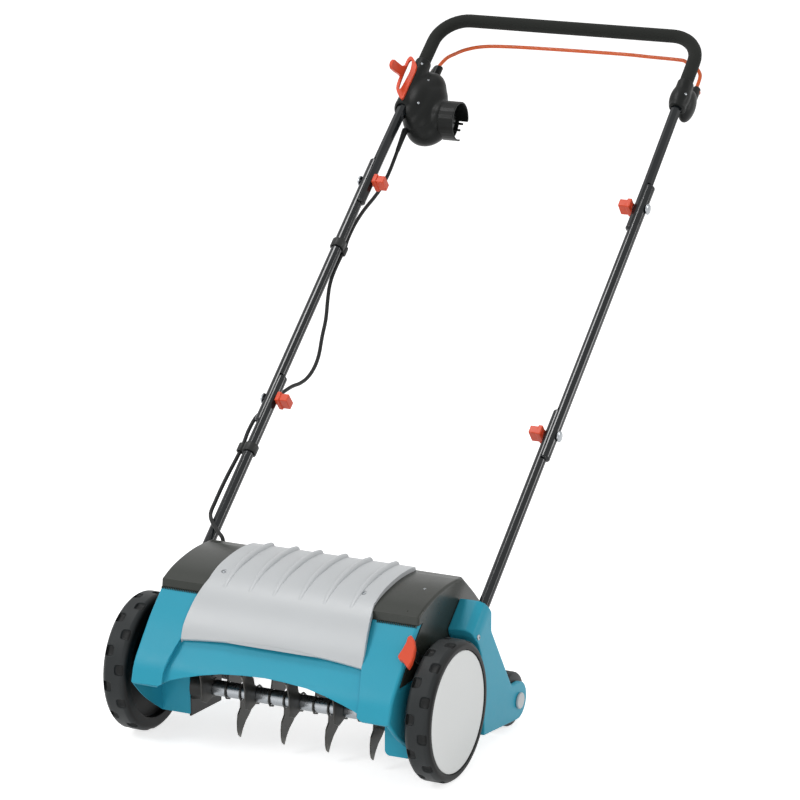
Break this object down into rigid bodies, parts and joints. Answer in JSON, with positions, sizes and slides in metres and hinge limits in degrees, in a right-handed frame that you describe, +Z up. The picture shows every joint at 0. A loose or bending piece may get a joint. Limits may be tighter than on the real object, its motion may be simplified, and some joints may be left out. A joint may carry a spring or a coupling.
{
  "type": "electric lawn scarifier",
  "caption": "Walk-behind electric lawn scarifier: wheeled housing over a toothed blade shaft, with a folding tube handle, bail, switch box and lead.",
  "frame": {"origin": "centre of the bounding box's bottom face, on the ground", "axes": "machine drives towards -Y and its handle rises towards +Y; +X across, towards the side without the switch box; +Z up"},
  "size_m": [0.5112, 1.1038, 0.9008],
  "materials": {
    "teal_plastic": "satin",
    "anthracite_plastic": "satin",
    "light_grey_plastic": "satin",
    "black_plastic": "fine grain",
    "orange_plastic": "satin",
    "orange_coating": "coated steel rod",
    "tyre_plastic": "moulded tread",
    "black_enamel": "gloss",
    "foam": "closed-cell foam",
    "bright_steel": "zinc plated",
    "blade_steel": "hardened, dark",
    "motor_steel": "sheet steel",
    "belt_rubber": "ribbed belt",
    "lead_rubber": "sheathed lead"
  },
  "bodies": {
    "deck": {"front_shell": "teal_plastic", "blade_tunnel": "black_plastic", "motor_cover": "anthracite_plastic", "centre_cover": "light_grey_plastic", "side_frame_left": "teal_plastic", "side_frame_right": "teal_plastic", "rear_axle_left": "light_grey_plastic", "rear_axle_right": "light_grey_plastic", "shaft_bearing_left": "bright_steel", "shaft_bearing_right": "bright_steel", "motor_can": "motor_steel", "drive_belt": "belt_rubber", "lower_tube_left": "black_enamel", "lower_tube_right": "black_enamel", "lead_clip_lower": "black_plastic"},
    "depth_crank": {"depth_crank": "bright_steel", "depth_lever": "orange_plastic"},
    "front_wheel_left": {"front_tyre_left": "tyre_plastic", "front_disc_left": "light_grey_plastic"},
    "front_wheel_right": {"front_tyre_right": "tyre_plastic", "front_disc_right": "light_grey_plastic"},
    "rear_wheel_left": {"rear_wheel_left": "tyre_plastic"},
    "rear_wheel_right": {"rear_wheel_right": "tyre_plastic"},
    "blade_shaft": {"blade_shaft": "bright_steel", "blade_01": "blade_steel", "blade_02": "blade_steel", "blade_03": "blade_steel", "blade_04": "blade_steel", "blade_05": "blade_steel", "blade_06": "blade_steel", "blade_07": "blade_steel", "blade_08": "blade_steel", "blade_09": "blade_steel", "blade_10": "blade_steel", "blade_11": "blade_steel", "blade_12": "blade_steel", "shaft_pulley": "black_plastic"},
    "motor_rotor": {"motor_rotor": "motor_steel"},
    "mid_frame": {"middle_tube_left": "black_enamel", "middle_tube_right": "black_enamel", "fold_bolt_lower_left": "bright_steel", "fold_bolt_lower_right": "bright_steel", "lead_clip_middle": "black_plastic", "lead_lower": "lead_rubber"},
    "upper_frame": {"upper_handle": "black_enamel", "foam_grip": "foam", "fold_bolt_upper_left": "bright_steel", "fold_bolt_upper_right": "bright_steel", "switch_box_top": "black_plastic", "switch_box_base": "black_plastic", "power_inlet": "black_plastic", "cord_hook": "orange_plastic", "bail_bracket": "black_plastic", "lead_upper": "lead_rubber"},
    "bail": {"bail": "orange_coating"},
    "start_button": {"start_button": "black_plastic"},
    "wing_nut_lower_left": {"wing_nut_lower_left": "orange_plastic"},
    "wing_nut_lower_right": {"wing_nut_lower_right": "orange_plastic"},
    "wing_nut_upper_left": {"wing_nut_upper_left": "orange_plastic"},
    "wing_nut_upper_right": {"wing_nut_upper_right": "orange_plastic"}
  },
  "joints": [
    {"name": "depth_setting", "type": "hinge", "parent": "deck", "child": "depth_crank", "pos_m": [0, -0.35743, 0.1], "axis": [1, 0, 0], "range_deg": [-8.1, 0]},
    {"name": "front_wheel_left", "type": "hinge", "parent": "depth_crank", "child": "front_wheel_left", "pos_m": [-0.2366, -0.44243, 0.1], "axis": [1, 0, 0], "continuous": true},
    {"name": "rear_wheel_left", "type": "hinge", "parent": "deck", "child": "rear_wheel_left", "pos_m": [-0.22, -0.21343, 0.04], "axis": [1, 0, 0], "continuous": true},
    {"name": "front_wheel_right", "type": "hinge", "parent": "depth_crank", "child": "front_wheel_right", "pos_m": [0.2366, -0.44243, 0.1], "axis": [1, 0, 0], "continuous": true},
    {"name": "rear_wheel_right", "type": "hinge", "parent": "deck", "child": "rear_wheel_right", "pos_m": [0.22, -0.21343, 0.04], "axis": [1, 0, 0], "continuous": true},
    {"name": "blade_spin", "type": "hinge", "parent": "deck", "child": "blade_shaft", "pos_m": [0, -0.44643, 0.078], "axis": [1, 0, 0], "continuous": true},
    {"name": "motor_spin", "type": "hinge", "parent": "deck", "child": "motor_rotor", "pos_m": [0.025, -0.35743, 0.195], "axis": [1, 0, 0], "continuous": true},
    {"name": "lower_fold", "type": "hinge", "parent": "deck", "child": "mid_frame", "pos_m": [0, -0.07013, 0.3974], "axis": [1, 0, 0], "range_deg": [0, 145], "deforming": ["lead_lower"]},
    {"name": "upper_fold", "type": "hinge", "parent": "mid_frame", "child": "upper_frame", "pos_m": [0, 0.25965, 0.67022], "axis": [1, 0, 0], "range_deg": [-145, 0], "deforming": ["lead_upper"]},
    {"name": "bail_swing", "type": "hinge", "parent": "upper_frame", "child": "bail", "pos_m": [0, 0.49792, 0.80892], "axis": [1, 0, 0], "range_deg": [0, 27], "stiffness_Nm_per_rad": 0.5, "springref_deg": -17.19},
    {"name": "start_press", "type": "slide", "parent": "upper_frame", "child": "start_button", "axis": [0, -0.7705, -0.6374], "range_m": [0, 0.004], "stiffness_N_per_m": 400, "springref_m": -0.004},
    {"name": "wing_nut_lower_left_turn", "type": "hinge", "parent": "mid_frame", "child": "wing_nut_lower_left", "pos_m": [-0.21, -0.07013, 0.3974], "axis": [1, 0, 0], "continuous": true},
    {"name": "wing_nut_lower_right_turn", "type": "hinge", "parent": "mid_frame", "child": "wing_nut_lower_right", "pos_m": [0.21, -0.07013, 0.3974], "axis": [1, 0, 0], "continuous": true},
    {"name": "wing_nut_upper_left_turn", "type": "hinge", "parent": "upper_frame", "child": "wing_nut_upper_left", "pos_m": [-0.21, 0.25965, 0.67022], "axis": [1, 0, 0], "continuous": true},
    {"name": "wing_nut_upper_right_turn", "type": "hinge", "parent": "upper_frame", "child": "wing_nut_upper_right", "pos_m": [0.21, 0.25965, 0.67022], "axis": [1, 0, 0], "continuous": true}
  ],
  "couplings": [
    {"joint": "motor_spin", "follows": "blade_spin", "ratio": 2.5}
  ]
}
